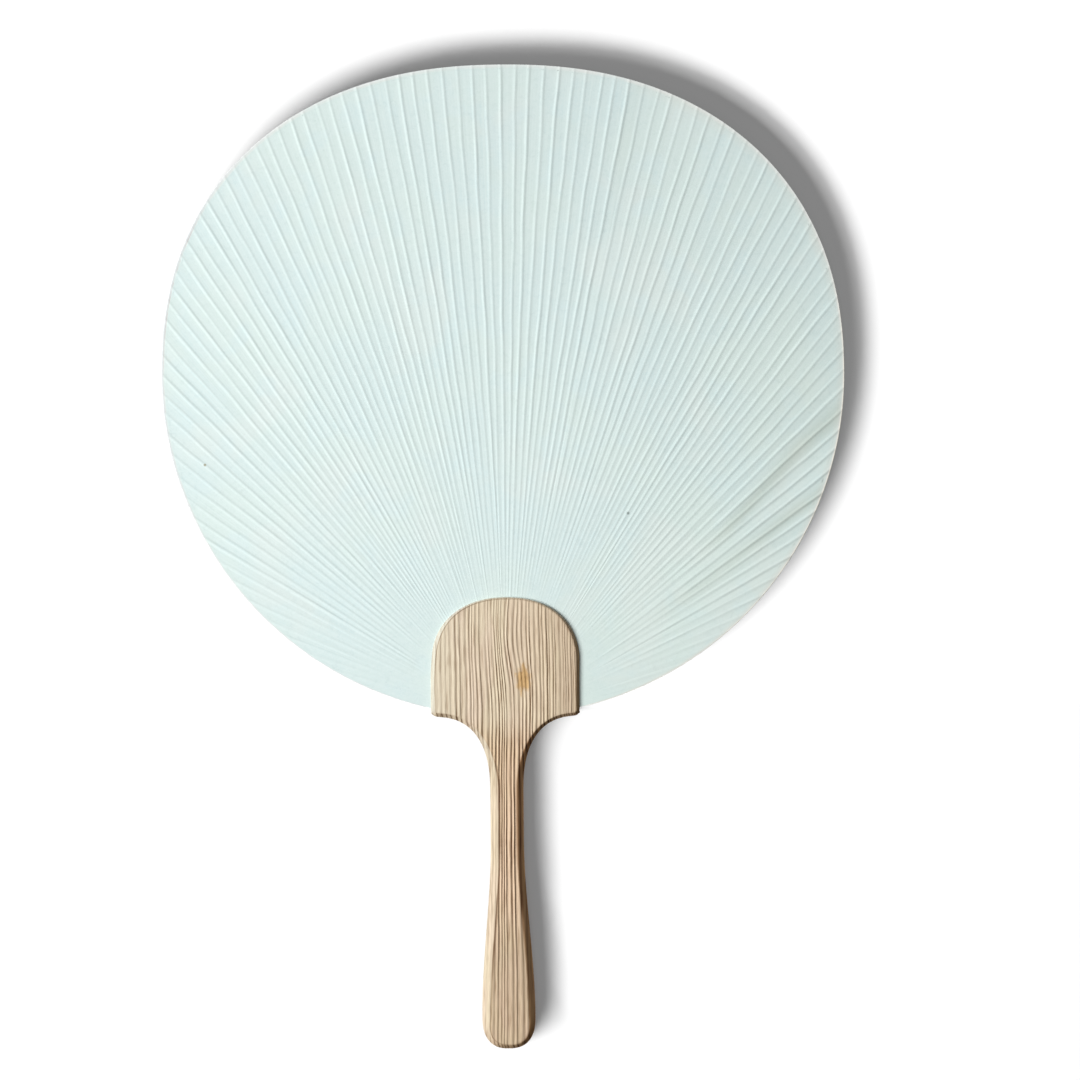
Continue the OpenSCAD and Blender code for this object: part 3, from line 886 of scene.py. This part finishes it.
def lit(name, objects, state="INCLUDE"):
    group = bpy.data.collections.new(name)
    for i, obj in enumerate(objects):
        group.objects.link(obj)
        group.collection_objects[i].light_linking.link_state = state
    return group


def area_light(name, place, target, size, power, receivers, shape="RECTANGLE", spread=180):
    data = bpy.data.lights.new(name, "AREA")
    data.shape = shape
    data.size, data.size_y = size
    data.energy = power
    data.spread = math.radians(spread)
    obj = bpy.data.objects.new(name, data)
    obj.location = place
    obj.rotation_euler = (Vector(target) - Vector(place)).to_track_quat("-Z", "Y").to_euler()
    scene.collection.objects.link(obj)
    obj.visible_camera = False
    obj.light_linking.receiver_collection = receivers
    return obj


def away(target, azimuth, elevation, distance):
    """A place seen from the target at an azimuth (from +X towards +Y) and an elevation."""
    a, e = math.radians(azimuth), math.radians(elevation)
    return Vector(target) + distance * Vector((math.cos(a) * math.cos(e), math.sin(a) * math.cos(e), math.sin(e)))


LEAF_MID = (0.0, 0.06, 0.0025)
area_light("key", away(LEAF_MID, 179, 40, 1.8), LEAF_MID, (0.8, 0.8), 42.6, lit("lit_fan", [floor_far, floor_near], "EXCLUDE"))
area_light("low_far", away((0.02, 0.06, 0), 225.3, 10.7, 12.0), (0.02, 0.06, 0), (10.7, 1.15), 5600.0, lit("lit_far", [floor_far]), "ELLIPSE")
area_light("low_far_soft", away((0.02, 0.06, 0), 225, 15.8, 12.0), (0.02, 0.06, 0), (14.6, 1.7), 1880.0, lit("lit_far_soft", [floor_far]), "ELLIPSE")
area_light("low_near", away((0.02, -0.1, 0), 221.6, 18.2, 12.0), (0.02, -0.1, 0), (13.3, 0.9), 4560.0, lit("lit_near", [floor_near]), "ELLIPSE")
area_light("fill", (0.0, 0.0, 2.0), (0.0, 0.0, 0.0), (2.0, 2.0), 5.5, lit("lit_fill", [floor_far, floor_near], "EXCLUDE"))
above = area_light("above", (0.0, 0.0, 2.0), (0.0, 0.0, 0.0), (2.0, 2.0), 8.4, lit("lit_floor", [floor_far, floor_near]))
above.light_linking.blocker_collection = lit("no_shade", [floor_far, floor_near])  # the shadow stays even up to the handle

world = bpy.data.worlds.new("pale")
scene.world = world
world.use_nodes = True
wt = world.node_tree
wt.nodes.clear()
w_out = wt.nodes.new("ShaderNodeOutputWorld")
w_bg = wt.nodes.new("ShaderNodeBackground")
w_see = wt.nodes.new("ShaderNodeBackground")
w_mix = wt.nodes.new("ShaderNodeMixShader")
w_path = wt.nodes.new("ShaderNodeLightPath")
w_bg.inputs["Color"].default_value = (1, 1, 1, 1)
w_bg.inputs["Strength"].default_value = 0.09
w_see.inputs["Color"].default_value = (1, 1, 1, 1)
w_see.inputs["Strength"].default_value = 0.95
wt.links.new(w_path.outputs["Is Camera Ray"], w_mix.inputs[0])
wt.links.new(w_bg.outputs[0], w_mix.inputs[1])
wt.links.new(w_see.outputs[0], w_mix.inputs[2])
wt.links.new(w_mix.outputs[0], w_out.inputs[0])

cam_data = bpy.data.cameras.new("camera")
cam = bpy.data.objects.new("camera", cam_data)
scene.collection.objects.link(cam)
CAM_H, SPAN = 1.6, 0.4006
cam.location = (0.01313, 0.00594, CAM_H)
cam.rotation_euler = (0, 0, -0.0092)
cam_data.sensor_width = 36.0
cam_data.lens = 36.0 * (CAM_H - TOP / 1000) / SPAN
scene.camera = cam
scene.view_settings.view_transform = "Standard"
scene.view_settings.look = "None"
scene.view_settings.exposure = 0.0
scene.view_settings.gamma = 1.0
